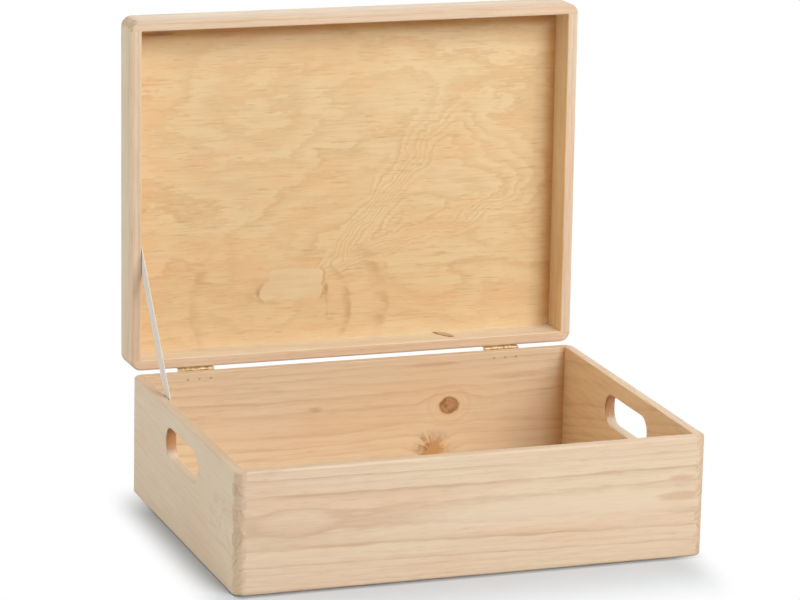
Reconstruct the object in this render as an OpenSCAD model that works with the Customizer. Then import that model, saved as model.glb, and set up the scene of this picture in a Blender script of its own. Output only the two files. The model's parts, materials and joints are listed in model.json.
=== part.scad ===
// Lidded storage box: finger-jointed pine boards, a plywood bottom and lid panel,
// two small brass butt hinges at the back and a flat ribbon that stops the lid.
//
// Units are millimetres. The origin is the centre of the base's underside, with
// +X to the right, +Y to the back, where the hinges are, and +Z up. The lid is
// drawn open, leaning back on its ribbon.

/* [Box] */
// Outside length of the box, along X
box_l = 400; // [250:1:600]
// Outside depth of the box, along Y
box_d = 300; // [240:1:450]
// Height of the base
base_h = 102; // [80:1:200]
// Height of the lid's frame
lid_h = 33.5; // [28:0.5:60]
// Thickness of the pine boards and rails
board_t = 9; // [8:0.5:14]
// Radius of the four upright corners
corner_r = 9; // [6:0.5:14]
// Radius of the rounded arrises round the outside
arris_r = 2; // [0.5:0.1:3]
// Width of the small chamfer along the inner edge of each rim
rim_chamfer = 0.6; // [0.2:0.1:1]
// Height aimed at for each finger of the corner joints
finger_h = 10.2; // [8:0.1:16]
// Gap left between the two rims when the lid is shut
lid_gap = 0.3; // [0.1:0.05:1]
// Angle that the lid opens through before the ribbon stops it
lid_open = 91; // [60:1:110]

/* [Panels] */
// Thickness of the plywood bottom and lid panel
panel_t = 4; // [3:0.5:6]
// Width of the rabbet that each panel lies in
rabbet_w = 4; // [2:0.5:4.5]
// Gap between a panel's edge and the wall of its rabbet
panel_fit = 0.3; // [0.1:0.05:0.8]

/* [Hand holes] */
// Length of each hand hole, along Y
hole_l = 90; // [70:1:110]
// Height of each hand hole
hole_h = 27; // [26:1:40]
// Radius of the hand hole's corners
hole_r = 12; // [6:0.5:12]
// Wood left between the rim and the top of the hand hole
hole_drop = 15; // [10:0.5:30]
// Radius of the rounded arris round the hand hole
hole_arris = 1.2; // [0.5:0.1:2]

/* [Hinges] */
// Distance from the box's left end to the middle of the left hinge
left_hinge_in = 57; // [40:1:100]
// Distance from the box's right end to the middle of the right hinge
right_hinge_in = 65; // [40:1:100]
// Length of each hinge, along its pin
hinge_l = 32; // [28:1:50]
// Height of a hinge leaf, from the pin's axis to its free edge
leaf_h = 10.5; // [9:0.5:14]
// Thickness of a hinge leaf
leaf_t = 0.8; // [0.6:0.1:1]
// Radius of the corners of a hinge leaf
leaf_r = 1; // [0.5:0.1:2]
// Outer radius of the hinge's knuckles
knuckle_r = 1.5; // [1.4:0.05:2]
// Radius of the hinge pin
pin_r = 0.75; // [0.5:0.05:0.9]
// Clearance all round the pin in its knuckles
pin_fit = 0.05; // [0.02:0.01:0.1]
// Clearance between the knuckles and the wood, and past the other leaf
knuckle_fit = 0.3; // [0.2:0.05:0.6]
// Gap between neighbouring knuckles
knuckle_gap = 0.25; // [0.1:0.05:0.5]
// Number of knuckles on each hinge
knuckles = 5; // [3:2:7]

/* [Hinge nails] */
// Radius of a hinge nail's shank
nail_r = 0.6; // [0.4:0.05:0.8]
// Radius of a hinge nail's head
nail_head_r = 1.35; // [1:0.05:1.6]
// Height of a hinge nail's domed head
nail_head_h = 0.7; // [0.4:0.05:1]
// Distance between the nails along a leaf
nail_pitch = 10.2; // [8:0.1:12]
// Distance from the pin's axis to the row of nails
nail_drop = 5.6; // [4:0.1:7]
// Length of the nails in the base, which reach the inside of the back board
base_nail_l = 10; // [7:0.5:12]
// Length of the nails in the lid, which stop short of the inside
lid_nail_l = 8; // [5:0.5:9]
// Clearance round a shank in its hole
shank_fit = 0.03; // [0.01:0.01:0.1]

/* [Lid stay] */
// Width of the ribbon
ribbon_w = 14; // [8:1:20]
// Thickness of the ribbon
ribbon_t = 0.6; // [0.4:0.1:1]
// Ribbon left past each tack
ribbon_tail = 7; // [4:0.5:12]
// Distance from the back end of the hand hole to the tack in the base
base_tack_back = 15.8; // [8:0.2:30]
// Depth of that tack below the base's rim
base_tack_drop = 16; // [10:0.5:30]
// Distance from the hinge axis to the tack in the lid
lid_tack_in = 110; // [70:1:130]
// Depth of that tack inside the lid's rim
lid_tack_drop = 11; // [8:0.5:20]
// Radius of a tack's shank
tack_r = 0.7; // [0.5:0.05:1]
// Radius of a tack's head
tack_head_r = 2.6; // [2:0.1:4]
// Height of a tack's domed head
tack_head_h = 1; // [0.6:0.1:1.6]
// Length of a tack's shank
tack_l = 7; // [4:0.5:7.5]

/* [Hidden] */
$fn = 48;

PINE = "#e8c8a0";
PINE_LIGHT = "#eed2b0";
PLYWOOD = "#dfb880";
BRASS = "#c9a24a";
RIBBON = "#ece8ec";

eps = 0.01;                               // overlap of a cutter past the face it opens
spare = 5;                                // blank's overhang where it is trimmed away
inner_l = box_l - 2 * board_t;            // between the side boards
inner_d = box_d - 2 * board_t;            // between the front and back boards
axis_out = knuckle_r + knuckle_fit;       // hinge axis behind the back face
hinge_y = box_d / 2 + axis_out;
hinge_z = base_h + lid_gap / 2;
lid_z = base_h + lid_gap;                 // rim of the shut lid
knuckle_l = hinge_l / knuckles;
relief = axis_out + knuckle_fit;          // leaf cut back beside the other leaf's knuckles
hinge_xs = [-box_l / 2 + left_hinge_in, box_l / 2 - right_hinge_in];
hole_z = base_h - hole_drop - hole_h / 2;

// Places along Y and Z of the two tacks with the lid open
base_tack = [hole_l / 2 + base_tack_back, base_h - base_tack_drop];
lid_tack_shut = [-lid_tack_in, lid_tack_drop + lid_gap / 2];
lid_tack = [
    hinge_y + lid_tack_shut.x * cos(lid_open) + lid_tack_shut.y * sin(lid_open),
    hinge_z - lid_tack_shut.x * sin(lid_open) + lid_tack_shut.y * cos(lid_open)
];
ribbon_run = norm(lid_tack - base_tack);
ribbon_angle = atan2(lid_tack.y - base_tack.y, lid_tack.x - base_tack.x);

// Carries what is drawn for the shut lid to where the open lid holds it
module open_lid() {
    translate([0, hinge_y, hinge_z])
        rotate([-lid_open, 0, 0])
            translate([0, -hinge_y, -hinge_z])
                children();
}

// Rectangle centred on the origin with rounded corners
module round_rect(l, w, r) {
    square([l - 2 * r, w], center = true);
    square([l, w - 2 * r], center = true);
    for (sx = [-1, 1], sy = [-1, 1])
        translate([sx * (l / 2 - r), sy * (w / 2 - r)])
            circle(r);
}

// Section w wide and h high with both arrises of its outer edge, x = w, rounded
module wall_section(w, h) {
    a = arris_r;
    square([w - a, h]);
    translate([0, a])
        square([w, h - 2 * a]);
    for (y = [a, h - a])
        translate([w - a, y])
            circle(a);
}

// Section through half of a hand hole, from its middle to w, with the depth of the
// board along y and its mouths flared to round the wood's arrises
module hole_section(w) {
    a = hole_arris;
    difference() {
        translate([0, -eps])
            square([w + a, board_t + 2 * eps]);
        translate([w, a])
            square([2 * a, board_t - 2 * a]);
        for (y = [a, board_t - a])
            translate([w + a, y])
                circle(a);
    }
}

// Runs a section round a rectangle l by w with corners of radius r. The first child
// is the section of the four straight runs, run_w wide, and the second is that of
// the four turned corners, r wide. Both have their outer edge at their largest x.
module round_rect_path(l, w, r, run_w) {
    for (turn = [0, 180])
        rotate(turn) {
            translate([0, w / 2 - run_w, 0])
                rotate([90, 0, 90])
                    linear_extrude(l - 2 * r, center = true)
                        children(0);
            translate([l / 2 - run_w, 0, 0])
                rotate([90, 0, 0])
                    linear_extrude(w - 2 * r, center = true)
                        children(0);
            translate([l / 2 - r, w / 2 - r, 0])
                rotate_extrude(angle = 90)
                    children(1);
            translate([r - l / 2, w / 2 - r, 0])
                rotate(90)
                    rotate_extrude(angle = 90)
                        children(1);
        }
}

// Ring of wall h high round the box, with upright corners of radius corner_r and
// every outer arris rounded
module wall_ring(h) {
    run_w = max(corner_r, board_t);
    round_rect_path(box_l, box_d, corner_r, run_w) {
        wall_section(run_w, h);
        wall_section(corner_r, h);
    }
}

// Number of fingers in a joint h high
function finger_count(h) = max(3, round(h / finger_h));

// Parity of the slot at the rim, counted from z = 0
function rim_parity(h) = (finger_count(h) - 1) % 2;

// Blank of a board h high along the X walls, at y = side * box_d / 2. Its fingers
// fill the slots whose place, counted from z = 0, has the given parity. It stands
// past the outside, where the ring of wall trims it.
module long_blank(h, side, parity) {
    n = finger_count(h);
    y0 = side > 0 ? inner_d / 2 : -inner_d / 2 - board_t - spare;
    translate([-inner_l / 2, y0, -spare])
        cube([inner_l, board_t + spare, h + 2 * spare]);
    for (k = [parity : 2 : n - 1])
        translate([-box_l / 2 - spare, y0, k * h / n])
            cube([box_l + 2 * spare, board_t + spare, h / n]);
}

// The same for a board along the Y walls, at x = side * box_l / 2
module short_blank(h, side, parity) {
    n = finger_count(h);
    x0 = side > 0 ? inner_l / 2 : -inner_l / 2 - board_t - spare;
    translate([x0, -inner_d / 2, -spare])
        cube([board_t + spare, inner_d, h + 2 * spare]);
    for (k = [parity : 2 : n - 1])
        translate([x0, -box_d / 2 - spare, k * h / n])
            cube([board_t + spare, box_d + 2 * spare, h / n]);
}

// Space of the rabbet round a panel whose outer face is at z = 0
module rabbet() {
    translate([0, 0, (panel_t - spare) / 2])
        cube([inner_l + 2 * rabbet_w, inner_d + 2 * rabbet_w, panel_t + spare], center = true);
}

// Plywood panel that lies in the rabbet
module panel() {
    translate([0, 0, panel_t / 2])
        cube([
            inner_l + 2 * (rabbet_w - panel_fit),
            inner_d + 2 * (rabbet_w - panel_fit),
            panel_t
        ], center = true);
}

// Bar along X, len long, that cuts the chamfer off an edge along the X axis whose
// wood lies towards +Y and -Z
module chamfer_bar(len) {
    side = 4 * rim_chamfer;
    rotate([45, 0, 0])
        translate([0, 0, side / 2 - rim_chamfer / sqrt(2)])
            cube([len, side, side], center = true);
}

// Wall h high along X at y = side * box_d / 2, with its panel's side at z = 0. Its
// fingers have the given parity. Where the topmost finger isn't this wall's own,
// the chamfer of its rim runs out past its end.
module long_wall(h, side, parity) {
    own_rim = parity == rim_parity(h);
    difference() {
        intersection() {
            wall_ring(h);
            long_blank(h, side, parity);
        }
        rabbet();
        mirror([0, side > 0 ? 0 : 1, 0])
            translate([0, inner_d / 2, h])
                chamfer_bar(inner_l + (own_rim ? 0 : 2 * spare));
    }
}

// The same for a wall along Y at x = side * box_l / 2
module short_wall(h, side, parity) {
    own_rim = parity == rim_parity(h);
    difference() {
        intersection() {
            wall_ring(h);
            short_blank(h, side, parity);
        }
        rabbet();
        mirror([side > 0 ? 0 : 1, 0, 0])
            translate([inner_l / 2, 0, h])
                rotate(-90)
                    chamfer_bar(inner_d + (own_rim ? 0 : 2 * spare));
    }
}

// Turns a part that is drawn with its panel's side at z = 0 over onto the base,
// where the shut lid has it
module turn_over() {
    translate([0, 0, lid_z + lid_h])
        mirror([0, 0, 1])
            children();
}

// Hand hole through a side board at x0 .. x0 + board_t, with its arrises rounded
module hand_hole(x0) {
    translate([x0, 0, hole_z])
        rotate([90, 0, 90]) {
            translate([0, 0, board_t / 2])
                cube([hole_l - 2 * hole_r, hole_h - 2 * hole_r, board_t + 2 * eps], center = true);
            round_rect_path(hole_l, hole_h, hole_r, hole_r) {
                hole_section(hole_r);
                hole_section(hole_r);
            }
        }
}

// Holes along Y for the shanks of both hinges' nails, from the back face inwards
module hinge_nail_holes(z, depth) {
    for (x = hinge_xs, k = [-1, 0, 1])
        translate([x + k * nail_pitch, box_d / 2 + eps, z])
            rotate([90, 0, 0])
                cylinder(r = nail_r + shank_fit, h = depth + eps);
}

// Hole along X for the shank of a tack, from the left wall's inner face outwards
module tack_hole(p) {
    translate([-inner_l / 2 + eps, p.x, p.y])
        rotate([0, -90, 0])
            cylinder(r = tack_r + shank_fit, h = tack_l - ribbon_t + 2 * eps);
}

// Domed nail or tack. The head's underside is at z = 0 and the shank goes down.
module nail(shank_r, head_r, head_h, length) {
    dome_r = (head_r * head_r + head_h * head_h) / (2 * head_h);
    rotate_extrude()
        intersection() {
            translate([0, head_h - dome_r])
                circle(dome_r);
            square([head_r, head_h]);
        }
    translate([0, 0, -length])
        cylinder(r = shank_r, h = length + eps);
}

// One leaf of a hinge, closed flat, with the pin's axis along X at the origin and
// the wood behind y = -axis_out. The leaf hangs down. own is the parity of its
// knuckles, counted from the left.
module hinge_leaf(own) {
    difference() {
        union() {
            translate([0, -axis_out, -(leaf_h + relief) / 2])
                rotate([-90, 0, 0])
                    linear_extrude(leaf_t)
                        round_rect(hinge_l, leaf_h - relief, leaf_r);
            for (k = [0 : knuckles - 1])
                if (k % 2 == own)
                    translate([-hinge_l / 2 + k * knuckle_l + knuckle_gap / 2, 0, 0]) {
                        translate([0, -axis_out, -relief - leaf_r])
                            cube([knuckle_l - knuckle_gap, leaf_t, relief + leaf_r]);
                        rotate([0, 90, 0])
                            cylinder(r = knuckle_r, h = knuckle_l - knuckle_gap);
                    }
        }
        translate([-hinge_l / 2 - eps, 0, 0])
            rotate([0, 90, 0])
                cylinder(r = pin_r + pin_fit, h = hinge_l + 2 * eps);
        for (k = [-1, 0, 1])
            translate([k * nail_pitch, -axis_out - eps, -nail_drop])
                rotate([-90, 0, 0])
                    cylinder(r = nail_r + shank_fit, h = leaf_t + 2 * eps);
    }
}

// The three nails of one leaf, in the same place as hinge_leaf()
module leaf_nails(length) {
    for (k = [-1, 0, 1])
        translate([k * nail_pitch, -axis_out + leaf_t, -nail_drop])
            rotate([-90, 0, 0])
                nail(nail_r, nail_head_r, nail_head_h, length);
}

// Places what is drawn for the base's leaf on the hinge with the given number
module on_base(i) {
    translate([hinge_xs[i], hinge_y, hinge_z])
        children();
}

// Places what is drawn for a hanging leaf on the open lid
module on_lid(i) {
    open_lid()
        translate([hinge_xs[i], hinge_y, hinge_z])
            mirror([0, 0, 1])
                children();
}

module front_board() {
    color(PINE)
        long_wall(base_h, -1, 1 - rim_parity(base_h));
}

module back_board() {
    color(PINE)
        difference() {
            long_wall(base_h, 1, 1 - rim_parity(base_h));
            hinge_nail_holes(hinge_z - nail_drop, board_t + eps);
        }
}

module left_board() {
    color(PINE_LIGHT)
        difference() {
            short_wall(base_h, -1, rim_parity(base_h));
            hand_hole(-box_l / 2);
            tack_hole(base_tack);
        }
}

module right_board() {
    color(PINE_LIGHT)
        difference() {
            short_wall(base_h, 1, rim_parity(base_h));
            hand_hole(inner_l / 2);
        }
}

module bottom_panel() {
    color(PLYWOOD)
        panel();
}

module lid_front_rail() {
    color(PINE)
        open_lid()
            turn_over()
                long_wall(lid_h, -1, rim_parity(lid_h));
}

module lid_back_rail() {
    color(PINE)
        open_lid()
            difference() {
                turn_over()
                    long_wall(lid_h, 1, rim_parity(lid_h));
                hinge_nail_holes(hinge_z + nail_drop, lid_nail_l - leaf_t + shank_fit);
            }
}

module lid_left_rail() {
    color(PINE_LIGHT)
        difference() {
            open_lid()
                turn_over()
                    short_wall(lid_h, -1, 1 - rim_parity(lid_h));
            tack_hole(lid_tack);
        }
}

module lid_right_rail() {
    color(PINE_LIGHT)
        open_lid()
            turn_over()
                short_wall(lid_h, 1, 1 - rim_parity(lid_h));
}

module lid_panel() {
    color(PLYWOOD)
        open_lid()
            turn_over()
                panel();
}

module hinge_pin(i) {
    color(BRASS)
        translate([hinge_xs[i] - hinge_l / 2, hinge_y, hinge_z])
            rotate([0, 90, 0])
                cylinder(r = pin_r, h = hinge_l);
}

module left_hinge_base_leaf() {
    color(BRASS)
        on_base(0)
            hinge_leaf(0);
}

module left_hinge_lid_leaf() {
    color(BRASS)
        on_lid(0)
            hinge_leaf(1);
}

module left_hinge_pin() {
    hinge_pin(0);
}

module left_hinge_base_nails() {
    color(BRASS)
        on_base(0)
            leaf_nails(base_nail_l);
}

module left_hinge_lid_nails() {
    color(BRASS)
        on_lid(0)
            leaf_nails(lid_nail_l);
}

module right_hinge_base_leaf() {
    color(BRASS)
        on_base(1)
            hinge_leaf(0);
}

module right_hinge_lid_leaf() {
    color(BRASS)
        on_lid(1)
            hinge_leaf(1);
}

module right_hinge_pin() {
    hinge_pin(1);
}

module right_hinge_base_nails() {
    color(BRASS)
        on_base(1)
            leaf_nails(base_nail_l);
}

module right_hinge_lid_nails() {
    color(BRASS)
        on_lid(1)
            leaf_nails(lid_nail_l);
}

// Flat ribbon against the left walls, pulled straight between its two tacks
module lid_stay() {
    color(RIBBON)
        difference() {
            translate([-inner_l / 2, base_tack.x, base_tack.y])
                rotate([ribbon_angle, 0, 0])
                    translate([0, -ribbon_tail, -ribbon_w / 2])
                        cube([ribbon_t, ribbon_run + 2 * ribbon_tail, ribbon_w]);
            for (p = [base_tack, lid_tack])
                translate([-inner_l / 2 - eps, p.x, p.y])
                    rotate([0, 90, 0])
                        cylinder(r = tack_r + shank_fit, h = ribbon_t + 2 * eps);
        }
}

// Domed tack through the ribbon into the left wall behind it
module stay_tack(p) {
    color(BRASS)
        translate([-inner_l / 2 + ribbon_t, p.x, p.y])
            rotate([0, 90, 0])
                nail(tack_r, tack_head_r, tack_head_h, tack_l);
}

module stay_base_tack() {
    stay_tack(base_tack);
}

module stay_lid_tack() {
    stay_tack(lid_tack);
}

front_board();
back_board();
left_board();
right_board();
bottom_panel();
lid_front_rail();
lid_back_rail();
lid_left_rail();
lid_right_rail();
lid_panel();
left_hinge_base_leaf();
left_hinge_lid_leaf();
left_hinge_pin();
left_hinge_base_nails();
left_hinge_lid_nails();
right_hinge_base_leaf();
right_hinge_lid_leaf();
right_hinge_pin();
right_hinge_base_nails();
right_hinge_lid_nails();
lid_stay();
stay_base_tack();
stay_lid_tack();
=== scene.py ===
"""Finishes for a finger-jointed pine box: its boards, plywood panels, brass hinges, nails and ribbon."""

import json
import math

import bpy
from bpy.props import FloatProperty, FloatVectorProperty, IntProperty, PointerProperty
from mathutils import Matrix, Vector


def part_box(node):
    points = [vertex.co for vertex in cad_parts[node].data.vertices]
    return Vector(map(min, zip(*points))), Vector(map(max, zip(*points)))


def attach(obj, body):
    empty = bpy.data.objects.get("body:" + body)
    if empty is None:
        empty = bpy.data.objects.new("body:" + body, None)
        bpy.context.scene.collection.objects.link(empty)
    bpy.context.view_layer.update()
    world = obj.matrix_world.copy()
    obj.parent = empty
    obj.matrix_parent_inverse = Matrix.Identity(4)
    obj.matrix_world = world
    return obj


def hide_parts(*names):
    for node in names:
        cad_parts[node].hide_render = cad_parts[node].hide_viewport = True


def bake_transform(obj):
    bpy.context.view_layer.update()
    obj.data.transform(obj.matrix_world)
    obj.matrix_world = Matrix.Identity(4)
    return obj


bl_info = {
    "name": "Pine Box",
    "version": (1, 0, 0),
    "blender": (4, 5, 0),
    "location": "View3D > Sidebar > Pine Box",
    "description": "Finishes the boards, panels, hinges, nails and ribbon of a lidded pine box",
    "category": "Object",
}

BUMP_STRENGTH = 0.6

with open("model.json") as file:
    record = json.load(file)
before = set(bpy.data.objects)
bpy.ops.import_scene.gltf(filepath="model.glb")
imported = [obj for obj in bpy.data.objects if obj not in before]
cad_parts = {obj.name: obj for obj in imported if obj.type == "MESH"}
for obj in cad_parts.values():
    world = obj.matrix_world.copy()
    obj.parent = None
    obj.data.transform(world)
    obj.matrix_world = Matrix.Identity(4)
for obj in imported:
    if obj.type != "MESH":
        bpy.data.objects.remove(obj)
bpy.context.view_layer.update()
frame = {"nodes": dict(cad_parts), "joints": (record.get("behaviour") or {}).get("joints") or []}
NODES = frame["nodes"]

HINGE = frame["joints"][0]
LID_LEAN = math.radians(HINGE["range_deg"][1] - 90.0)
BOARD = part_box("right_board")[1].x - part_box("right_board")[0].x


def srgb(red, green, blue):
    """The linear colour of a shade that is written as it looks, from 0 to 255."""
    def linear(value):
        """One channel's linear value."""
        share = value / 255
        return share / 12.92 if share <= 0.04045 else ((share + 0.055) / 1.055) ** 2.4
    return linear(red), linear(green), linear(blue)


def shade(name, description, *rgb):
    """A colour setting, written as it looks."""
    return FloatVectorProperty(name=name, description=description, subtype="COLOR", size=3,
                               min=0.0, max=1.0, default=srgb(*rgb))


def length(name, description, default):
    """A length setting, in metres."""
    return FloatProperty(name=name, description=description, default=default, unit="LENGTH", precision=5)


def power(name, place, default):
    """A setting for the power of a lamp."""
    return FloatProperty(name=name, description=f"Power of the lamp {place}", default=default, unit="POWER")


# ---------------------------------------------------------------- settings


class PineSettings(bpy.types.PropertyGroup):
    """Solid pine of the boards and rails."""
    early: shade("Early wood", "Pale wood between the lines of the grain", 231, 205, 176)
    cream: shade("Cream wood", "Paler and yellower patches of the early wood", 232, 209, 179)
    # pale also serves as painted light on the lower side of a hand hole
    pale: shade("Pale wood", "Palest patches, and the lower side of a hand hole", 236, 217, 190)
    pink: shade("Pink wood", "Warmer patches of the early wood", 231, 200, 169)
    late: shade("Late wood", "Lines of the grain", 196, 156, 118)
    end: shade("End grain", "Tint of a sawn end", 238, 230, 222)
    # sawn is end grain darkened further by painted shade inside a hand hole
    sawn: shade("Hole ends", "Tint of the end grain in a hand hole", 228, 194, 164)
    torn: shade("Torn grain", "Marks where the cutter tore an end", 128, 104, 84)
    knot: shade("Knot", "Middle of a knot", 192, 142, 98)
    knot_line: shade("Knot lines", "Dark rings of a knot and its edge", 134, 88, 54)
    spike: shade("Spike knot", "Knot that is cut along its length", 192, 138, 84)
    resin: shade("Resin", "Tint of the wood round a knot", 230, 182, 126)
    bark: shade("Bark", "Bark on the side of a knot that is cut aslant", 112, 72, 44)
    # corner is painted shade that browns the inside of the back board beside the right board
    corner: shade("Corner", "Tint of the brown wood in the base's back corner", 233, 207, 176)


class PlywoodSettings(bpy.types.PropertyGroup):
    """Rotary-cut pine plywood of the panels."""
    early: shade("Early wood", "Pale wood of the veneer", 234, 206, 160)
    late: shade("Late wood", "Bands of the veneer's growth lines", 217, 176, 124)
    line: shade("Growth lines", "Sharp edge of each band", 190, 138, 86)
    warm: shade("Warm areas", "Tint of the orange areas", 234, 190, 140)
    patch: shade("Patch", "Inlaid patch that fills a knot hole", 234, 209, 168)
    seam: shade("Patch seam", "Glue line round the patch", 168, 122, 78)
    core: shade("Inner ply", "Ply that shows at a panel's edge", 176, 132, 88)
    # corner is painted shade beside the lid's right rail and under its front rail
    corner: shade("Corner", "Tint of the brown veneer in the lid's corners", 233, 204, 166)


class BrassSettings(bpy.types.PropertyGroup):
    """Brass-plated hinges, pins, nails and tacks."""
    plate: shade("Plating", "Colour of the plating", 203, 180, 138)
    worn: shade("Worn plating", "Colour where the plating has dulled", 158, 132, 94)
    roughness: FloatProperty(name="Roughness", description="Roughness of the plating", default=0.58)
    nail_pitch: length("Nail spacing", "Distance between the nails of a hinge leaf", 0.0102)
    nail_shank: length("Nail shank", "Radius of a hinge nail", 0.0006)
    nail_head: length("Nail head", "Height of a hinge nail's domed head", 0.0007)
    tack_shank: length("Tack shank", "Radius of a ribbon tack", 0.0007)
    tack_head: length("Tack head", "Height of a ribbon tack's domed head", 0.001)
    sides: IntProperty(name="Sides", description="Sides of each round nail and tack", default=24, min=8)


class RibbonSettings(bpy.types.PropertyGroup):
    """Ribbon that stops the lid."""
    thread: shade("Thread", "Colour of the ribbon", 242, 229, 217)
    valley: shade("Weave shadow", "Colour between the threads", 222, 206, 192)
    width: length("Width", "Width of the ribbon", 0.014)
    thickness: length("Thickness", "Thickness of the ribbon", 0.0006)
    tail: length("Tail", "Ribbon left past each tack", 0.007)
    ripple: length("Ripple", "Height of the ribbon's slight waves between the tacks", 0.00025)
    rib: length("Rib spacing", "Spacing of the weave's cross ribs", 0.0007)
    cord: length("Selvedge cords", "Spacing of the cords along both edges", 0.0005)


class StageSettings(bpy.types.PropertyGroup):
    """Floor, lamps and camera."""
    lens: FloatProperty(name="Lens", description="Focal length", default=178.943, unit="CAMERA")
    key: power("Key lamp", "in front", 69.0)
    side: power("Side lamp", "at the right", 16.0)
    fill: power("Fill lamp", "at the left", 38.0)
    back: power("Back lamp", "behind", 32.0)
    world: FloatProperty(name="Surroundings", description="Strength of the light all round", default=0.14)
    # The floor's grey near the box, which turns to white away from it, is partly a painted shadow
    floor: shade("Floor", "Colour of the floor near the box", 214, 219, 225)


# ---------------------------------------------------------------- node trees


class Tree:
    """A node tree, with a short call for each kind of node that the finishes use."""

    def __init__(self, tree):
        self.tree = tree

    def put(self, socket, value):
        """Links a socket to an output, or sets it to a plain value."""
        if isinstance(value, bpy.types.NodeSocket):
            self.tree.links.new(value, socket)
        else:
            socket.default_value = value

    def node(self, kind, inputs=None, **options):
        """A node with its options set and its inputs, named in a dictionary, filled."""
        node = self.tree.nodes.new(kind)
        for name, value in options.items():
            setattr(node, name, value)
        for name, value in (inputs or {}).items():
            self.put(node.inputs[name], value)
        return node

    def math(self, operation, a, b=0.0, c=0.0):
        """A step of arithmetic on numbers."""
        node = self.node("ShaderNodeMath", {0: a, 1: b, 2: c}, operation=operation)
        return node.outputs[0]

    def total(self, *values):
        """The values added up."""
        result = values[0]
        for value in values[1:]:
            result = self.math("ADD", result, value)
        return result

    def times(self, *values):
        """The values multiplied."""
        result = values[0]
        for value in values[1:]:
            result = self.math("MULTIPLY", result, value)
        return result

    def vector(self, operation, a, b=(0.0, 0.0, 0.0)):
        """A step of arithmetic on vectors."""
        node = self.node("ShaderNodeVectorMath", {0: a, 1: b}, operation=operation)
        return node.outputs["Value" if operation in ("LENGTH", "DOT_PRODUCT") else "Vector"]

    def scaled(self, a, scale):
        """A vector times a number."""
        node = self.node("ShaderNodeVectorMath", {0: a, "Scale": scale}, operation="SCALE")
        return node.outputs["Vector"]

    def parts(self, vector):
        """The X, Y and Z of a vector."""
        return self.node("ShaderNodeSeparateXYZ", {0: vector}).outputs

    def joined(self, x, y, z):
        """A vector from its X, Y and Z."""
        return self.node("ShaderNodeCombineXYZ", {0: x, 1: y, 2: z}).outputs[0]

    def noise_node(self, vector, stretch, detail=2.0, roughness=0.5):
        """A noise node with so many swings to the metre along each axis."""
        return self.node("ShaderNodeTexNoise", {
            "Vector": self.vector("MULTIPLY", vector, stretch), "Scale": 1.0, "Detail": detail,
            "Roughness": roughness})

    def noise(self, *args, **options):
        """Noise from 0 to 1."""
        return self.noise_node(*args, **options).outputs["Fac"]

    def swing(self, *args, **options):
        """Noise to both sides of 0."""
        return self.math("SUBTRACT", self.noise(*args, **options), 0.5)

    def drift(self, *args, **options):
        """Noise that moves a place to all sides."""
        return self.vector("SUBTRACT", self.noise_node(*args, **options).outputs["Color"], (0.5, 0.5, 0.5))

    def wave(self, value):
        """Noise along a line."""
        return self.node("ShaderNodeTexNoise", {"W": value, "Scale": 1.0, "Detail": 1.0},
                         noise_dimensions="1D").outputs["Fac"]

    def smooth(self, value, low, high, to_low=0.0, to_high=1.0):
        """A soft step. A step down has to_low above to_high, and low stays below high."""
        return self.node("ShaderNodeMapRange", {
            "Value": value, "From Min": low, "From Max": high, "To Min": to_low, "To Max": to_high},
            interpolation_type="SMOOTHSTEP").outputs["Result"]

    def fade(self, value, low, high, most=1.0):
        """A soft step down to nothing."""
        return self.smooth(value, low, high, most, 0.0)

    def hump(self, value, up_from, up_to, down_from, down_to):
        """A soft step up and down again."""
        return self.times(self.smooth(value, up_from, up_to), self.fade(value, down_from, down_to))

    def mix(self, factor, a, b, blend="MIX"):
        """Colour a with so much of colour b on it."""
        node = self.node("ShaderNodeMix", data_type="RGBA", blend_type=blend, clamp_factor=True)
        self.put(node.inputs[0], factor)
        for socket, color in ((node.inputs[6], a), (node.inputs[7], b)):
            self.put(socket, color if isinstance(color, bpy.types.NodeSocket) else (*color, 1.0))
        return node.outputs[2]

    def paint(self, color, *coats):
        """Lays coats over a colour. Each has how much it shows, its shade and, for some, its blend."""
        for share, tint, *blend in coats:
            color = self.mix(share, color, tint, *blend)
        return color

    def distance(self, at, centre, size):
        """Distance from a centre, where the edge is at 1. A size of None means right through that way."""
        scale = tuple(1.0 / part if part else 0.0 for part in size)
        return self.vector("LENGTH", self.vector("MULTIPLY", self.vector("SUBTRACT", at, centre), scale))

    def rough(self, value, amount, *args, **options):
        """A value that noise moves by an amount to both sides together."""
        return self.math("MULTIPLY_ADD", self.swing(*args, **options), amount, value)

    def coordinates(self):
        """Object coordinates and the normal."""
        outputs = self.node("ShaderNodeTexCoord").outputs
        return outputs["Object"], outputs["Normal"]


def node_group(name, inputs, outputs):
    """An empty shader group: its Tree, its inputs by name and its output node."""
    tree = bpy.data.node_groups.new(name, "ShaderNodeTree")
    for kind, sockets in (("INPUT", inputs), ("OUTPUT", outputs)):
        for socket, socket_type in sockets.items():
            tree.interface.new_socket(socket, in_out=kind, socket_type=f"NodeSocket{socket_type}")
    return Tree(tree), tree.nodes.new("NodeGroupInput").outputs, tree.nodes.new("NodeGroupOutput").inputs


def use_group(tree, name, inputs):
    """Places a group in a tree and fills its inputs."""
    node = tree.tree.nodes.new("ShaderNodeGroup")
    node.node_tree = bpy.data.node_groups[name]
    for socket, value in inputs.items():
        tree.put(node.inputs[socket], value)
    return node.outputs


def new_material(name):
    """An empty material with a Principled shader: the material, its Tree and the shader's inputs."""
    material = bpy.data.materials.new(name)
    material.use_nodes = True
    material.node_tree.nodes.clear()
    tree = Tree(material.node_tree)
    shader = tree.node("ShaderNodeBsdfPrincipled")
    tree.node("ShaderNodeOutputMaterial", {"Surface": shader.outputs[0]})
    return material, tree, shader.inputs


def put_material(piece, material):
    """Puts one material on every face of a piece."""
    piece.data.materials.clear()
    piece.data.materials.append(material)


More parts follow.
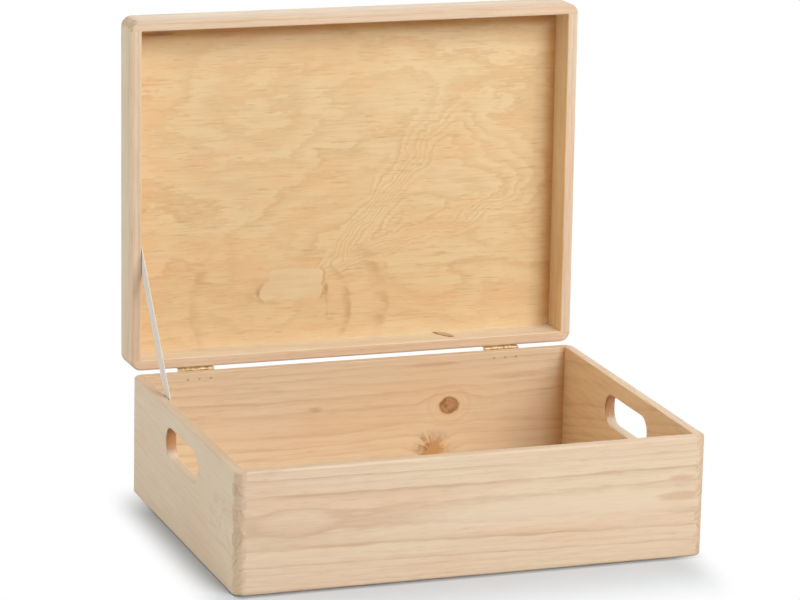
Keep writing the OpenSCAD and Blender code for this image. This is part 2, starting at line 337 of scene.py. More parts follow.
def put_bump(tree, shader, height, depth):
    """Raises a surface by its height pattern, which runs from 0 to 1 over a depth in metres."""
    bump = tree.node("ShaderNodeBump", {"Height": height, "Strength": BUMP_STRENGTH, "Distance": depth})
    tree.put(shader["Normal"], bump.outputs["Normal"])


def put_wood(tree, shader, color, grain, shine, depth):
    """Gives a shader its colour, and the roughness and the height of its grain."""
    tree.put(shader["Base Color"], color)
    tree.put(shader["Roughness"], grain["Roughness"])
    shader["Specular IOR Level"].default_value = shine
    put_bump(tree, shader, grain["Height"], depth)


def geometry_group(name, inputs):
    """An empty Geometry Nodes group: its Tree, its inputs by name and the identifier of each input."""
    tree = bpy.data.node_groups.new(name, "GeometryNodeTree")
    sockets = {}
    for socket, kind in inputs.items():
        made = tree.interface.new_socket(socket, in_out="INPUT", socket_type=f"NodeSocket{kind}")
        sockets[socket] = made.identifier
    tree.interface.new_socket("Geometry", in_out="OUTPUT", socket_type="NodeSocketGeometry")
    return Tree(tree), tree.nodes.new("NodeGroupInput").outputs, sockets


def finish_geometry(tree, geometry, material):
    """Ends a Geometry Nodes group with one plain mesh that has its finish."""
    solid = tree.node("GeometryNodeRealizeInstances", {0: geometry})
    finished = tree.node("GeometryNodeSetMaterial", {"Geometry": solid.outputs[0], "Material": material})
    tree.node("NodeGroupOutput", {0: finished.outputs[0]})


def add_group(piece, group, values):
    """Puts a Geometry Nodes group on a piece and sets the group's inputs."""
    tree, sockets = group
    modifier = piece.modifiers.new(tree.name, "NODES")
    modifier.node_group = tree
    for name, value in values.items():
        modifier[sockets[name]] = value


def make_plain(piece):
    """Replaces a piece's mesh by what its modifiers make of it, and takes the modifiers off."""
    bpy.context.view_layer.update()
    evaluated = piece.evaluated_get(bpy.context.evaluated_depsgraph_get())
    mesh = bpy.data.meshes.new_from_object(evaluated)
    piece.modifiers.clear()
    piece.data = mesh
    mesh.name = piece.name


def new_piece(name, mesh):
    """An object for a mesh, in the scene."""
    piece = bpy.data.objects.new(name, mesh)
    bpy.context.scene.collection.objects.link(piece)
    return piece


def grained(along, across):
    """Swings to the metre of a pattern that is drawn out along the grain."""
    return along, across, across


def even(swings):
    """Swings to the metre of a pattern that is the same in all directions."""
    return swings, swings, swings


def flat(along, across):
    """Swings to the metre of a pattern on a panel's face."""
    return along, across, 1.0


# ---------------------------------------------------------------- pine


# The trees that the boards were sawn from. pith is the middle of the tree where the board's middle is, lean
# is how far the pith moves across for each metre along, ring is the width of a year, first is the radius of a
# growth line and wander is how far the lines stray. contrast and fibre are how strongly the lines and the
# fibres show. tint colours the face that looks along the tinted axis, the way that its sign says.
BOARDS = {
    "front_board": dict(
        along="X", pith=(0.0, -0.0900, 0.0552), lean=(0.0, -0.003, -0.015), ring=0.0030, first=0.0618,
        wander=0.0009, contrast=1.0, seed=1.7),
    "back_board": dict(
        along="X", pith=(0.0, 0.169, 0.052), ring=0.0058, first=0.0312, wander=0.0055, contrast=0.62,
        seed=4.3, tint=(0.975, 1.02, 1.02)),
    "left_board": dict(
        along="Y", pith=(0.0, -0.120, -0.040), lean=(0.0, 0.0, 0.05), ring=0.0044, wander=0.006,
        contrast=0.22, seed=7.9, fibre=0.4),
    # The right board's tint is painted shade: it darkens and saturates the inner face, as light bouncing
    # between boards would
    "right_board": dict(
        along="Y", pith=(0.0, 0.131, 0.104), lean=(0.0, 0.0, -0.24), ring=0.0040, wander=0.004, contrast=0.7,
        seed=2.6, tint=(1.01, 0.94, 0.80)),
    "lid_front_rail": dict(
        along="X", pith=(0.0, 0.180, 0.45), ring=0.0050, wander=0.008, contrast=0.6, seed=5.1),
    "lid_back_rail": dict(
        along="X", pith=(0.0, 0.175, 0.050), ring=0.0044, wander=0.006, contrast=0.5, seed=9.2,
        tint=(1.09, 1.23, 1.30), tinted=(2, 1.0)),
    "lid_left_rail": dict(
        along="Z", pith=(0.0, -0.25, 0.17), ring=0.0044, wander=0.008, contrast=0.5, seed=3.4),
    # The lid's right rail's tint is painted bounce light: it makes the inner face lighter and warmer
    "lid_right_rail": dict(
        along="Z", pith=(0.0, 0.24, 0.17), ring=0.0044, wander=0.008, contrast=0.6, seed=6.8,
        tint=(1.08, 1.04, 0.85)),
}
GRAIN_AXES = {"X": (0, 1, 2), "Y": (1, 0, 2), "Z": (2, 0, 1)}
WOOD_OUTPUTS = {"Color": "Color", "Height": "Float", "Roughness": "Float"}
SANDED_PINE = dict(shine=0.3, depth=0.0002)

# Centres and sizes of the knots and arcs, with X along the grain. None is right through the board.
ROUND_KNOT = dict(centre=(0.0839, 0.0, 0.0569), size=(0.0084, None, 0.0071))
SPIKE_KNOT = dict(centre=(0.070, 0.0, 0.0165), size=(0.0085, None, 0.0080))
LEANING_KNOT = dict(centre=(0.0888, 0.1725, 0.0), along=(-0.43, 0.903, 0.0), size=(0.0115, 0.0045))
FAINT_ARCS = dict(centre=(-0.150, 0.0, 0.052), size=(0.070, None, 0.023))
NAIL_STAIN = (0.0011, None, 0.0010)

# Between which places the ends and the lower side of a hand hole fade, along the board and in height. The
# ends' darkening is partly painted shade, and the pale lower side is painted light.
HOLE_REACH = (0.08, 0.1)
HOLE_SHADE_UPPER = (0.061, 0.071)
HOLE_LIT_LOWER = (0.066, 0.070)

# The painted shade in the back board's corner: two heights, and how far it reaches from the right board at
# each of them
CORNER_SHADE_HEIGHTS = (0.030, 0.100)
CORNER_SHADE_REACH = (0.023, 0.007)

# Soft patches of a board: the centre, the size, how much the patch shows and which shade of pine it has
BACK_PATCHES = (
    ((0.065, 0.0, 0.0600), (0.130, None, 0.0700), 0.2, "resin"),
    ((-0.110, 0.0, 0.0480), (0.070, None, 0.0160), 0.3, "pale"),
    ((0.073, 0.0, 0.0945), (0.026, None, 0.0022), 0.5, "late"),
    ((0.150, 0.0, 0.0800), (0.030, None, 0.0026), 0.4, "late"),
    ((-0.0384, 0.0, 0.0610), (0.0065, None, 0.0026), 0.5, "knot"),
)
FRONT_PATCHES = (
    ((0.085, 0.0, 0.0510), (0.140, None, 0.0140), 0.55, "pale"),
    ((-0.160, 0.0, 0.0480), (0.045, None, 0.0110), 0.22, "late"),
    ((0.179, 0.0, 0.0685), (0.013, None, 0.0022), 0.35, "spike"),
    ((0.179, 0.0, 0.0530), (0.021, None, 0.0044), 0.38, "spike"),
)

# Where the grain bows out round a knot: the centre, the size and how far it bows
BOWS = {
    "back_board": (
        (ROUND_KNOT["centre"], (0.034, None, 0.030), 0.0055),
        ((0.071, 0.0, 0.016), (0.034, None, 0.022), 0.006)),
    "front_board": (((-0.150, 0.0, 0.057), (0.040, None, 0.020), 0.0018),),
}


def make_pine_group(pine):
    """Group for solid pine: rings round a pith along X, so a board's faces and ends show the same tree."""
    tree, given, out = node_group("Pine grain", {
        "Vector": "Vector", "Pith": "Vector", "Lean": "Vector", "Ring": "Float", "First": "Float",
        "Wander": "Float", "Contrast": "Float", "Fibre": "Float", "Swell": "Float", "Seed": "Float",
        "End": "Float"}, WOOD_OUTPUTS)
    at = tree.vector("ADD", given["Vector"], tree.joined(given["Seed"], 0.0, 0.0))
    along = tree.parts(given["Vector"])[0]

    # Distance from the pith, which leans and wanders as the tree grew
    stray = tree.scaled(tree.drift(at, grained(4.0, 9.0)), tree.times(given["Wander"], 2.0))
    pith = tree.vector("ADD", given["Pith"], tree.scaled(given["Lean"], along))
    from_pith = tree.vector("ADD", tree.vector("SUBTRACT", given["Vector"], pith), stray)
    radius = tree.vector("LENGTH", tree.vector("MULTIPLY", from_pith, (0.0, 1.0, 1.0)))
    ragged = tree.swing(at, grained(26.0, 240.0), detail=3.0)
    radius = tree.total(radius, given["Swell"], tree.times(ragged, 0.0018))

    # Years of slow and of quick growth. Some years end in a strong line and some in a faint one.
    years = tree.math("DIVIDE", tree.math("SUBTRACT", radius, given["First"]), given["Ring"])
    uneven = tree.wave(tree.math("MULTIPLY_ADD", years, 0.45, given["Seed"]))
    years = tree.math("MULTIPLY_ADD", tree.math("SUBTRACT", uneven, 0.5), 0.9, years)
    year = tree.math("FLOOR", years)
    phase = tree.math("FRACT", years)
    luck = tree.wave(tree.math("MULTIPLY_ADD", year, 3.7, given["Seed"]))
    strength = tree.smooth(luck, 0.3, 0.65, 0.2, 1.1)
    patchy = tree.smooth(tree.noise(at, grained(9.0, 40.0)), 0.3, 0.65, 0.45, 1.0)
    ramp = tree.total(tree.smooth(phase, 0.2, 0.85, 0.0, 0.5), tree.smooth(phase, 0.62, 0.86, 0.0, 0.5))
    line = tree.times(ramp, tree.fade(phase, 0.84, 1.0), strength, patchy, given["Contrast"])

    # Fibres, short resin canals, and patches of cream and of pink wood
    fibre = tree.noise(at, grained(24.0, 380.0), detail=3.0, roughness=0.65)
    canal = tree.smooth(tree.noise(at, grained(60.0, 1000.0), detail=1.0), 0.6, 0.76)
    gleam = tree.smooth(tree.noise(at, grained(38.0, 600.0), detail=1.0), 0.6, 0.76)
    tone = tree.noise(at, grained(5.0, 30.0))

    color = tree.paint(
        pine.cream,
        (tree.smooth(tone, 0.35, 0.5), pine.early),
        (tree.smooth(tone, 0.5, 0.68), pine.pink),
        (tree.times(line, 0.62), pine.late),
        (tree.times(tree.smooth(fibre, 0.42, 0.78, 0.0, 0.27), given["Fibre"]), pine.late),
        (tree.times(gleam, given["Fibre"], 0.3), pine.cream),
        (tree.times(canal, given["Fibre"], 0.21), pine.late, "MULTIPLY"))

    # A sawn end is darker and greyer, with marks where its fibres tore
    torn = tree.smooth(tree.noise(at, (120.0, 120.0, 65.0), detail=3.0), 0.5, 0.7)
    ended = tree.paint(
        color,
        (1.0, pine.end, "MULTIPLY"),
        (tree.times(line, 0.25), pine.late, "MULTIPLY"),
        (tree.times(torn, 0.3), pine.torn))
    tree.put(out["Color"], tree.mix(given["End"], color, ended))

    height = tree.total(tree.times(line, 0.5), tree.times(fibre, 0.5), tree.times(canal, -0.4))
    tree.put(out["Height"], height)
    tree.put(out["Roughness"], tree.smooth(fibre, 0.2, 0.8, 0.5, 0.66))


def board_coordinates(tree, along):
    """Object coordinates and normal turned so that the grain runs along X."""
    turned = []
    for vector in tree.coordinates():
        parts = tree.parts(vector)
        turned.append(tree.joined(*(parts[i] for i in GRAIN_AXES[along])))
    return turned


def bowed(tree, at, centre, size, rise):
    """How far the grain bows out round a knot: rise at its centre, and nothing past its size."""
    return tree.fade(tree.distance(at, centre, size), 0.1, 1.0, -rise)


def put_patches(tree, color, at, pine, patches, rough, amount, edge):
    """Soft patches that noise makes ragged by an amount, each faded out between the distances of its edge."""
    for centre, size, share, tint in patches:
        far = tree.math("MULTIPLY_ADD", rough, amount, tree.distance(at, centre, size))
        color = tree.mix(tree.fade(far, *edge, share), color, getattr(pine, tint))
    return color


def round_knot(tree, at, color, centre, size, pine):
    """A branch that is cut across: brown rings, a dark edge and a pale ring of wood round it."""
    far = tree.rough(tree.distance(at, centre, size), 0.35, at, even(160.0), detail=3.0)
    rings = tree.smooth(tree.math("SINE", tree.times(far, 15.0)), 0.0, 1.0, 0.0, 0.2)
    mottle = tree.smooth(tree.noise(at, even(260.0), detail=3.0), 0.45, 0.65, 0.0, 0.7)
    middle = tree.mix(tree.math("MAXIMUM", rings, mottle), pine.knot, pine.knot_line)
    return tree.paint(
        color,
        (tree.fade(far, 1.0, 2.3, 0.45), pine.resin),
        (tree.times(tree.hump(far, 1.15, 1.35, 1.4, 1.7), 0.3), pine.early),
        (tree.times(tree.hump(far, 1.9, 2.2, 2.2, 2.7), 0.15), pine.late),
        (tree.fade(far, 0.88, 1.16), middle),
        (tree.times(tree.hump(far, 0.7, 0.95, 0.95, 1.25), 0.4), pine.knot_line))


def spike_knot(tree, at, color, centre, size, pine):
    """A branch that is cut along its length: an orange middle with dark marks that fan out from it."""
    away = tree.vector("SUBTRACT", at, centre)
    ray = tree.vector("NORMALIZE", tree.vector("MULTIPLY", away, (1.0, 0.0, 1.0)))
    fan = tree.times(
        tree.smooth(tree.noise(ray, even(3.1), detail=1.5, roughness=0.6), 0.38, 0.6),
        tree.smooth(tree.parts(ray)[0], -0.3, 0.6, 1.0, 0.5),
        tree.smooth(tree.noise(at, even(170.0)), 0.35, 0.6, 0.25, 1.0))
    ragged = tree.total(tree.distance(at, centre, size), tree.times(fan, 0.3),
                        tree.times(tree.swing(at, even(200.0)), 1.2))
    return tree.paint(
        color,
        (tree.fade(ragged, 0.9, 2.3, 0.7), pine.resin),
        (tree.fade(ragged, 0.6, 1.25, 0.8), pine.spike),
        (tree.times(fan, tree.hump(ragged, 0.6, 1.1, 1.6, 3.0), 0.7), pine.knot_line),
        (tree.times(tree.hump(ragged, 0.75, 1.0, 1.0, 1.4), 0.2), pine.knot_line))


def leaning_knot(tree, at, color, centre, along, size, pine):
    """A branch that is cut aslant: a brown oval with its bark on one side."""
    away = tree.vector("SUBTRACT", at, centre)
    run = tree.math("DIVIDE", tree.vector("DOT_PRODUCT", away, along), size[0])
    side = tree.math("DIVIDE", tree.vector("DOT_PRODUCT", away, (along[1], -along[0], 0.0)), size[1])
    far = tree.rough(tree.vector("LENGTH", tree.joined(run, side, 0.0)), 0.6, at, even(260.0))
    edge = tree.times(tree.hump(far, 0.6, 0.9, 1.05, 1.35), tree.smooth(side, -0.6, 0.5, 1.0, 0.1))
    return tree.paint(
        color,
        (tree.fade(far, 0.9, 2.0, 0.35), pine.resin),
        (tree.fade(far, 0.8, 1.1, 0.75), pine.knot),
        (tree.times(edge, 0.95), pine.bark))


def back_board_marks(tree, at, color, pine):
    """The back board's patches and knots, the stains of the hinge nails' tips, and painted shade that browns
    a corner.
    """
    streak = tree.swing(at, grained(50.0, 400.0))
    color = put_patches(tree, color, at, pine, BACK_PATCHES, streak, 1.2, (0.3, 1.3))
    color = round_knot(tree, at, color, **ROUND_KNOT, pine=pine)
    color = spike_knot(tree, at, color, **SPIKE_KNOT, pine=pine)
    brass = bpy.context.scene.pine_box_brass
    for side in ("left", "right"):
        stains = [(centre, NAIL_STAIN, 0.32, "knot_line")
                  for centre in nail_centres(f"{side}_hinge_base_nails", brass)]
        color = put_patches(tree, color, at, pine, stains, streak, 1.6, (0.5, 1.5))

    # Painted shade: browner wood inside the box beside the right board, over a width that grows from the top
    # down
    place = tree.parts(at)
    inner = tree.fade(tree.parts(tree.coordinates()[1])[1], -0.8, -0.3)
    far = tree.math("SUBTRACT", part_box("right_board")[0].x, place[0])
    reach = tree.smooth(place[2], *CORNER_SHADE_HEIGHTS, *CORNER_SHADE_REACH)
    brown = tree.times(inner, tree.fade(tree.math("DIVIDE", far, reach), 0.0, 1.0))
    return tree.mix(brown, color, pine.corner, blend="MULTIPLY")


def front_board_marks(tree, at, color, pine):
    """A pale patch and a brown one on the front board, and two short brown streaks near its right end."""
    streak = tree.swing(at, grained(60.0, 500.0))
    return put_patches(tree, color, at, pine, FRONT_PATCHES, streak, 0.8, (0.5, 1.3))


def lid_back_rail_marks(tree, at, color, pine):
    """Leaning knot on the inner face of the lid's back rail."""
    return leaning_knot(tree, at, color, **LEANING_KNOT, pine=pine)


def hole_ends(tree, at, color, pine):
    """Darker end grain, partly painted shade, in the upper part of a hand hole's ends, and painted light on
    its lower side.
    """
    normal = tree.parts(tree.coordinates()[1])
    place = tree.parts(at)
    inside = tree.fade(tree.math("ABSOLUTE", place[0]), *HOLE_REACH)
    ends = tree.smooth(tree.math("ABSOLUTE", normal[1]), 0.2, 0.8)
    # The darker tint of the upper ends is partly painted shade, and the pale coat on the upward lower side is
    # painted light
    upper = tree.smooth(place[2], *HOLE_SHADE_UPPER, 0.3, 1.0)
    lower = tree.times(tree.smooth(normal[2], 0.4, 0.9), inside, tree.fade(place[2], *HOLE_LIT_LOWER))
    return tree.paint(
        color,
        (tree.times(ends, inside, upper), pine.sawn, "MULTIPLY"),
        (tree.times(lower, 0.9), pine.pale))


def left_board_marks(tree, at, color, pine):
    """Faint nested arcs that open to the front edge of the left board, and the ends of its hand hole."""
    far = tree.rough(tree.distance(at, **FAINT_ARCS), 0.8, at, (50.0, 50.0, 110.0), detail=3.0)
    arcs = tree.smooth(tree.math("SINE", tree.times(far, 22.0)), -0.4, 1.0)
    reach = tree.hump(far, 0.2, 0.6, 0.85, 1.2)
    broken = tree.smooth(tree.noise(at, (90.0, 90.0, 160.0)), 0.35, 0.65, 0.2, 1.0)
    color = tree.mix(tree.times(arcs, reach, broken, 0.24), color, pine.late)
    return hole_ends(tree, at, color, pine)


MARKS = {
    "back_board": back_board_marks,
    "front_board": front_board_marks,
    "left_board": left_board_marks,
    "right_board": hole_ends,
    "lid_back_rail": lid_back_rail_marks,
}


def finish_board(name, pine, along, pith, ring, wander, contrast, seed, lean=(0.0, 0.0, 0.0), first=0.0,
                 fibre=1.0, tint=(1.0, 1.0, 1.0), tinted=(1, -1.0)):
    """Pine material of one board or rail, with its own knots and marks."""
    material, tree, shader = new_material(name.replace("_", " ").capitalize())
    at, normal = board_coordinates(tree, along)
    slope = tree.math("ABSOLUTE", tree.parts(normal)[0])
    end = tree.times(tree.smooth(slope, 0.12, 0.5, 0.0, 0.75), tree.smooth(slope, 0.85, 1.0, 1.0, 0.55))
    swell = tree.total(*(bowed(tree, at, *bow) for bow in BOWS[name])) if name in BOWS else 0.0
    grain = use_group(tree, "Pine grain", {
        "Vector": at, "Pith": pith, "Lean": lean, "Ring": ring, "First": first, "Wander": wander,
        "Contrast": contrast, "Fibre": fibre, "Swell": swell, "Seed": seed, "End": end})
    color = grain["Color"]
    if name in MARKS:
        color = MARKS[name](tree, at, color, pine)
    # On the right board and the lid's right rail this tint is painted shade and painted bounce light on the
    # inner face
    axis, way = tinted
    facing = tree.smooth(tree.times(tree.parts(normal)[axis], way), 0.3, 0.8)
    color = tree.mix(facing, color, tint, blend="MULTIPLY")
    put_wood(tree, shader, color, grain, **SANDED_PINE)
    put_material(NODES[name], material)


# ---------------------------------------------------------------- plywood


SANDED_VENEER = dict(shine=0.35, depth=0.00015)
LID_AXES = (0, 2, 1)
BOTTOM_AXES = (0, 1, 2)

# How many growth lines each veneer climbs for a metre on X and on Y, and its hill: the centre, size and rise
INNER_CLIMB = (2.0, 8.0)
INNER_HILL = ((-0.078, 0.335), (0.090, 0.060), 1.5)
OUTER_CLIMB = (-4.0, 14.0)
OUTER_HILL = ((0.040, 0.260), (0.13, 0.08), 4.0)
BOTTOM_CLIMB = (4.0, 16.0)
BOTTOM_HILL = ((0.060, -0.030), (0.12, 0.07), 4.0)

# The rest are places on the lid's inner veneer, as X and Z of the open lid

# Sides of the wedge that the nested lines fill: a point on the side, its angle and how much it counts
WEDGE_LEFT = ((-0.0180, 0.1952), math.radians(54.5), 1.0)
WEDGE_RIGHT = ((-0.0045, 0.1667), math.radians(15.5), 1.2)
WEDGE_TIP = (0.0, 0.170)
NESTED_LINES = 8.0

# Between which places the veneer turns warmer to the left and cooler to the right, and by how much
WARM_LEFT = (-0.19, -0.12, 0.06)
COOL_RIGHT = (0.10, 0.19, 0.0, -0.10)

# Warmer areas: the centre, the size and how much warmer
WARM_AREAS = (
    ((-0.162, 0.318), (0.045, 0.024), 0.18),
    ((-0.130, 0.362), (0.130, 0.050), 0.20),
    ((0.079, 0.144), (0.035, 0.018), 0.16),
    ((0.159, 0.137), (0.028, 0.030), 0.14),
    ((-0.175, 0.149), (0.030, 0.030), 0.12),
    ((-0.086, 0.134), (0.030, 0.012), 0.12),
    ((-0.140, 0.275), (0.080, 0.055), 0.10),
)

# Part rings round the knot that the patch has taken out: the centre, the radius, the width as a share of the
# radius, 1 for a right side or -1 for a left one, and the strength
KNOT_ARCS = (
    ((-0.046, 0.140), 0.031, 0.10, 1.0, 0.6),
    ((-0.046, 0.140), 0.050, 0.15, 1.0, 1.4),
    ((-0.034, 0.141), 0.070, 0.20, 1.0, 1.2),
    ((-0.046, 0.146), 0.091, 0.11, -1.0, 0.7),
)

# The inlaid patch is a broad block with a narrower one above it: the centre, the half size and the corner
PATCH_BLOCKS = (
    ((-0.0485, 0.1575), (0.0288, 0.0078), 0.0070),
    ((-0.0445, 0.1690), (0.0250, 0.0080), 0.0060),
)
PATCH_ENDS = (0.022, 0.031)
PATCH_HEIGHTS = (0.148, 0.160)

# Bark at the patch's ends: the centre, the size and the strength
BARK_MARKS = (
    ((-0.0168, 0.1580), (0.0018, 0.0052), 0.5),
    ((-0.0792, 0.1578), (0.0018, 0.0042), 0.35),
)
SWIRL = ((-0.0185, 0.1674), (0.0060, 0.0050))
PITCH_STREAK = ((-0.169, 0.3865), (0.016, 0.0024))


def make_plywood_group(ply):
    """Group for rotary-cut veneer: a field whose level lines are the growth lines, seen on X and Y."""
    tree, given, out = node_group("Plywood veneer", {
        "Vector": "Vector", "Field": "Float", "Sharp": "Float", "Warmth": "Float", "Seed": "Float",
        "Edge": "Float"}, WOOD_OUTPUTS)
    at = tree.vector("ADD", given["Vector"], tree.joined(0.0, 0.0, given["Seed"]))

    # Broad waves of the field, and small ones that make its lines shiver
    broad = tree.swing(at, flat(7.0, 11.0), detail=1.5)
    small = tree.swing(at, flat(30.0, 70.0), detail=3.0, roughness=0.6)
    tiny = tree.swing(at, flat(50.0, 480.0), detail=1.0)
    field = tree.total(given["Field"], tree.times(broad, 8.0), tree.times(small, 1.6), tree.times(tiny, 0.5))
    year = tree.math("FLOOR", field)
    phase = tree.math("FRACT", field)
    luck = tree.wave(tree.math("MULTIPLY_ADD", year, 5.3, given["Seed"]))
    strength = tree.smooth(luck, 0.3, 0.7, 0.5, 1.0)
    patchy = tree.smooth(tree.noise(at, flat(12.0, 22.0)), 0.38, 0.62, 0.05, 0.5)
    patchy = tree.math("MAXIMUM", patchy, given["Sharp"])
    band = tree.times(tree.hump(phase, 0.15, 0.75, 0.75, 1.0), strength)
    edge = tree.times(tree.hump(phase, 0.6, 0.82, 0.84, 1.0), strength, patchy)

    # Pores that show as short dark lines along the grain, pale ones beside them, and warm areas
    pore = tree.smooth(tree.noise(at, flat(62.0, 760.0), detail=1.0), 0.6, 0.76)
    beside = tree.vector("ADD", at, (3.0, 3.0, 0.0))
    glint = tree.smooth(tree.noise(beside, flat(60.0, 640.0), detail=1.0), 0.6, 0.76)
    fibre = tree.noise(at, flat(16.0, 330.0), detail=3.0, roughness=0.6)
    warm = tree.total(tree.noise(at, flat(8.0, 30.0), detail=3.0), given["Warmth"])
    mottle = tree.noise(tree.vector("ADD", at, (6.0, 2.0, 0.0)), flat(26.0, 60.0))

    tree.put(out["Color"], tree.paint(
        ply.early,
        (tree.times(band, 0.46), ply.late),
        (tree.smooth(warm, 0.42, 0.85, 0.0, 0.62), ply.warm),
        (tree.smooth(mottle, 0.48, 0.72, 0.0, 0.45), ply.warm),
        (tree.times(edge, 0.3), ply.line),
        (tree.smooth(fibre, 0.4, 0.8, 0.0, 0.4), ply.late),
        (tree.times(pore, 0.3), ply.line),
        (tree.times(glint, 0.5), ply.patch),
        (given["Edge"], ply.core)))
    tree.put(out["Height"], tree.total(tree.times(fibre, 0.5), tree.times(pore, -0.5), tree.times(band, 0.3)))
    tree.put(out["Roughness"], tree.smooth(fibre, 0.2, 0.8, 0.5, 0.64))


def veneer(tree, at, edge, field, seed, sharp=0.0, warmth=0.0):
    """Veneer whose growth lines are the level lines of a field."""
    return use_group(tree, "Plywood veneer", {
        "Vector": at, "Field": field, "Sharp": sharp, "Warmth": warmth, "Seed": seed, "Edge": edge})


def panel_coordinates(tree, face_axes):
    """Object coordinates with the panel's face on X and Y, and how far the surface turns off that face."""
    place, normal = (tree.parts(vector) for vector in tree.coordinates())
    facing = tree.math("ABSOLUTE", normal[face_axes[2]])
    return tree.joined(*(place[i] for i in face_axes)), tree.fade(facing, 0.4, 0.8)


def face_distance(tree, at, centre, size):
    """Distance from a centre on a panel's face, where the edge is at 1."""
    return tree.distance(at, (*centre, 0.0), (*size, None))


def hill(tree, at, centre, size, rise):
    """A round rise on a panel's face."""
    return tree.fade(face_distance(tree, at, centre, size), 0.0, 1.0, rise)


def sloping_field(tree, at, climb, *hills):
    """A field that climbs over a panel by so many lines to the metre on X and Y, with hills on it."""
    across = tree.parts(at)
    return tree.total(tree.times(across[0], climb[0]), tree.times(across[1], climb[1]), *hills)


def wedge_depth(tree, at, left, right):
    """How far a point lies inside a wedge, in metres. Each side has a point on it, an angle and a weight."""
    at = tree.vector("ADD", at, tree.scaled(tree.drift(at, flat(40.0, 40.0), detail=4.0), 0.022))
    sides = []
    for (place, angle, weight), turn in ((left, 1.0), (right, -1.0)):
        facing = (turn * weight * math.sin(angle), -turn * weight * math.cos(angle), 0.0)
        sides.append(tree.vector("DOT_PRODUCT", tree.vector("SUBTRACT", at, (*place, 0.0)), facing))
    return tree.math("MINIMUM", *sides)


def part_ring(tree, at, centre, radius, width, side):
    """Soft band along one side of a ring."""
    facing = (side, 0.1 * side, 0.0)
    away = tree.vector("MULTIPLY", tree.vector("SUBTRACT", at, (*centre, 0.0)), (1.0, 1.0, 0.0))
    shiver = tree.swing(at, flat(26.0, 26.0), detail=3.0)
    rung = tree.swing(at, flat(50.0, 480.0), detail=1.0)
    far = face_distance(tree, at, centre, (radius, radius))
    far = tree.total(far, tree.times(shiver, 0.2), tree.times(rung, 0.06))
    turned = tree.vector("DOT_PRODUCT", tree.vector("NORMALIZE", away), facing)
    band = tree.hump(far, 1.0 - width, 1.0, 1.0, 1.0 + 0.5 * width)
    return tree.times(band, tree.smooth(turned, 0.65, 0.95))


def rounded_block(tree, at, centre, half, corner):
    """Distance outside a block with round corners, in metres."""
    away = tree.vector("ABSOLUTE", tree.vector("SUBTRACT", at, (*centre, 0.0)))
    away = tree.vector("SUBTRACT", away, (half[0] - corner, half[1] - corner, 1.0))
    away = tree.vector("MAXIMUM", away, (0.0, 0.0, 0.0))
    return tree.math("SUBTRACT", tree.vector("LENGTH", away), corner)


def nested_veneer(tree, at, edge):
    """Inner veneer of the lid, with nested angles of lines that open from the patch to the top right."""
    across = tree.parts(at)
    depth = wedge_depth(tree, at, WEDGE_LEFT, WEDGE_RIGHT)
    away = face_distance(tree, at, WEDGE_TIP, (0.1, 0.1))
    nested = tree.times(tree.smooth(depth, -0.001, 0.042, 0.0, NESTED_LINES), tree.fade(away, 0.7, 2.6))
    uneven = tree.smooth(tree.noise(at, flat(45.0, 45.0)), 0.38, 0.6, 0.25, 1.0)
    sharp = tree.times(
        tree.smooth(depth, 0.0, 0.004), tree.smooth(depth, 0.016, 0.042, 0.75, 0.35),
        tree.fade(away, 0.7, 1.55), uneven)
    field = sloping_field(tree, at, INNER_CLIMB, nested, hill(tree, at, *INNER_HILL))
    warmth = tree.total(
        tree.fade(across[0], *WARM_LEFT), tree.smooth(across[0], *COOL_RIGHT),
        *(hill(tree, at, *area) for area in WARM_AREAS))
    return veneer(tree, at, edge, field, seed=2.3, sharp=sharp, warmth=warmth)


def inlaid_patch(tree, at, color, ply):
    """Soft dark arcs round a knot, the patch let in where the knot was, and bark at the patch's ends."""
    arcs = tree.total(*(tree.times(part_ring(tree, at, *ring), strength) for *ring, strength in KNOT_ARCS))
    broken = tree.smooth(tree.noise(at, flat(40.0, 90.0)), 0.4, 0.6, 0.25, 1.0)
    across = tree.parts(at)
    blocks = tree.math("MINIMUM", *(rounded_block(tree, at, *block) for block in PATCH_BLOCKS))
    patch = tree.rough(blocks, 0.006, at, flat(70.0, 120.0), detail=3.0)
    from_middle = tree.math("ABSOLUTE", tree.math("ADD", across[0], -PATCH_BLOCKS[0][0][0]))
    ends = tree.smooth(from_middle, *PATCH_ENDS)
    seam = tree.times(tree.hump(patch, -0.0012, 0.0002, 0.0004, 0.0034), ends)
    grain = tree.noise(tree.vector("ADD", at, (1.7, 0.4, 0.0)), flat(14.0, 150.0), detail=3.0)
    inlay = tree.mix(tree.smooth(grain, 0.4, 0.75, 0.0, 0.35), ply.patch, ply.late)
    faded = tree.smooth(across[1], *PATCH_HEIGHTS, 0.35, 0.8)
    bark = [(tree.fade(face_distance(tree, at, centre, size), 0.3, 1.4, strength), ply.seam)
            for centre, size, strength in BARK_MARKS]
    return tree.paint(
        color,
        (tree.times(arcs, broken, 0.34), ply.line),
        (tree.fade(face_distance(tree, at, *SWIRL), 0.4, 1.3, 0.5), ply.warm),
        (tree.times(tree.fade(patch, -0.0012, 0.0012), faded), inlay),
        (tree.times(seam, 0.3), ply.seam),
        *bark)


